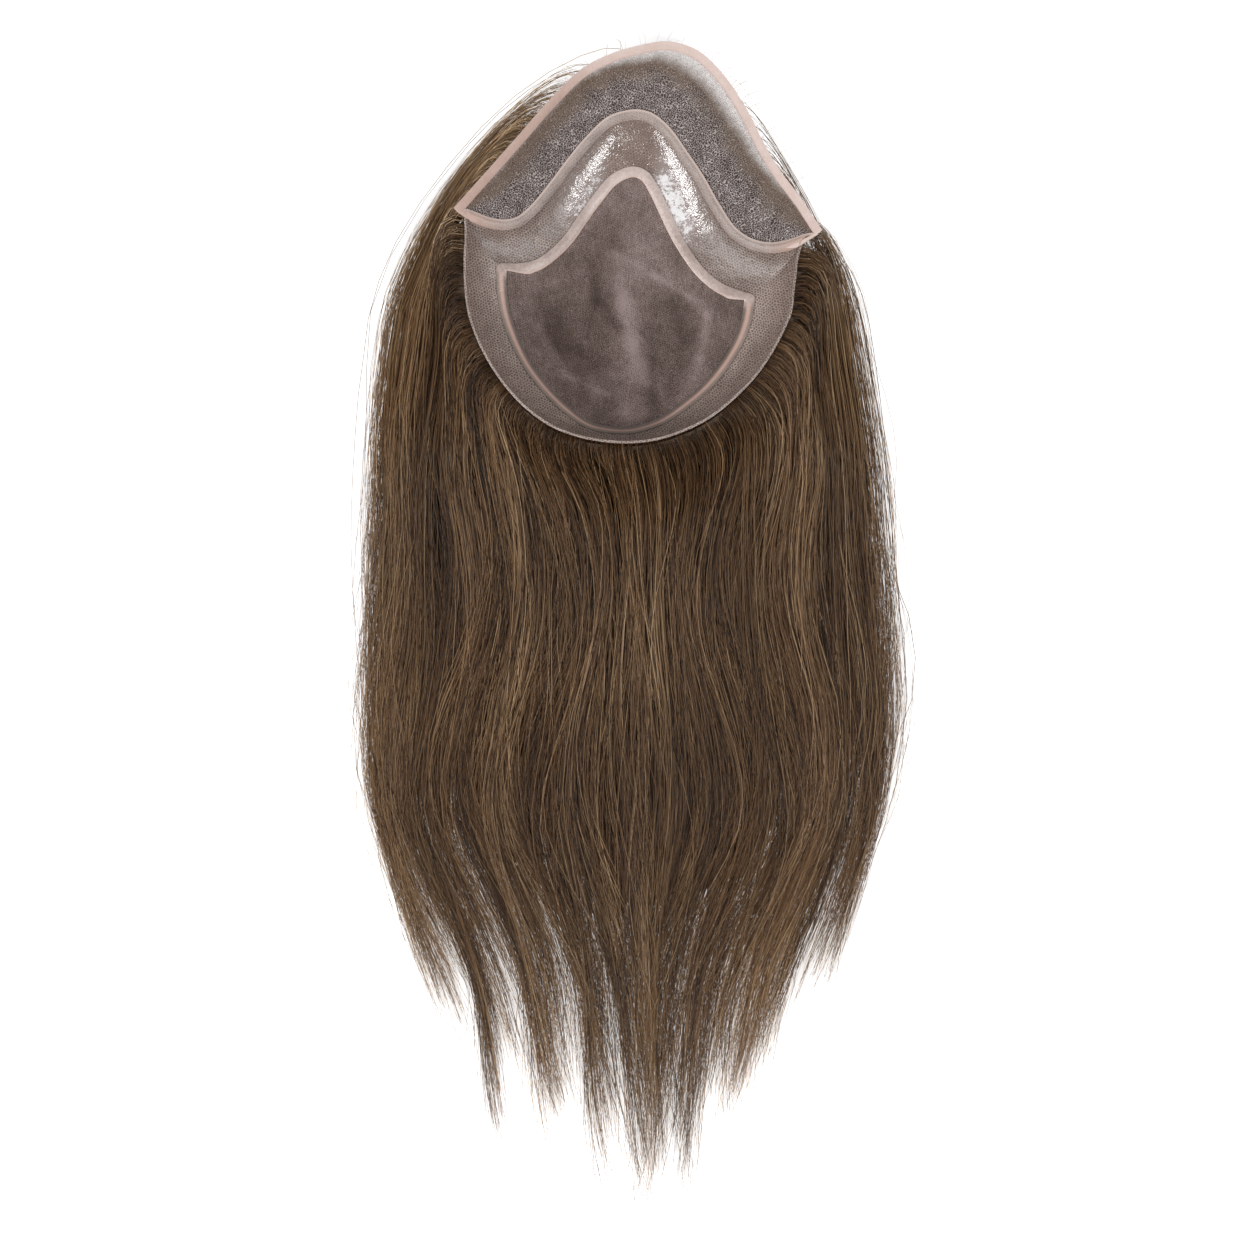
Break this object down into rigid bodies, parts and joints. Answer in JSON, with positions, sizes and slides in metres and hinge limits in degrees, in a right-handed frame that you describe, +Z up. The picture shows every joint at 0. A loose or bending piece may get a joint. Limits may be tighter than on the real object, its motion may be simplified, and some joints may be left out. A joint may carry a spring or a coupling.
{
  "type": "toupee hairpiece",
  "caption": "Long-haired toupee lying inside up on its own brown hair: net crown, clear skin rim, bound seams, lace front and taped hairline, tips fanned out to a point.",
  "frame": {"origin": "on the floor under the middle of the whole hairpiece", "axes": "+Z up out of the open cap, +Y towards the front hairline, -Y along the hair to its tips"},
  "size_m": [0.2774, 0.578, 0.058],
  "materials": {
    "crown_net": "fine monofilament net, matt",
    "seam_ribbon": "soft woven ribbon",
    "clear_skin": "clear glossy skin over net",
    "wave_ribbon": "greyish pink ribbon",
    "lace": "knotted lace over dark hair",
    "hairline_tape": "pinkish edge ribbon",
    "brown_hair": "straight brown hair, satin"
  },
  "bodies": {
    "root": {"crown_panel": "crown_net", "crown_binding": "seam_ribbon", "skin_band": "clear_skin", "wave_binding": "wave_ribbon", "front_lace": "lace", "front_edge_tape": "hairline_tape", "hair": "brown_hair"}
  },
  "joints": []
}
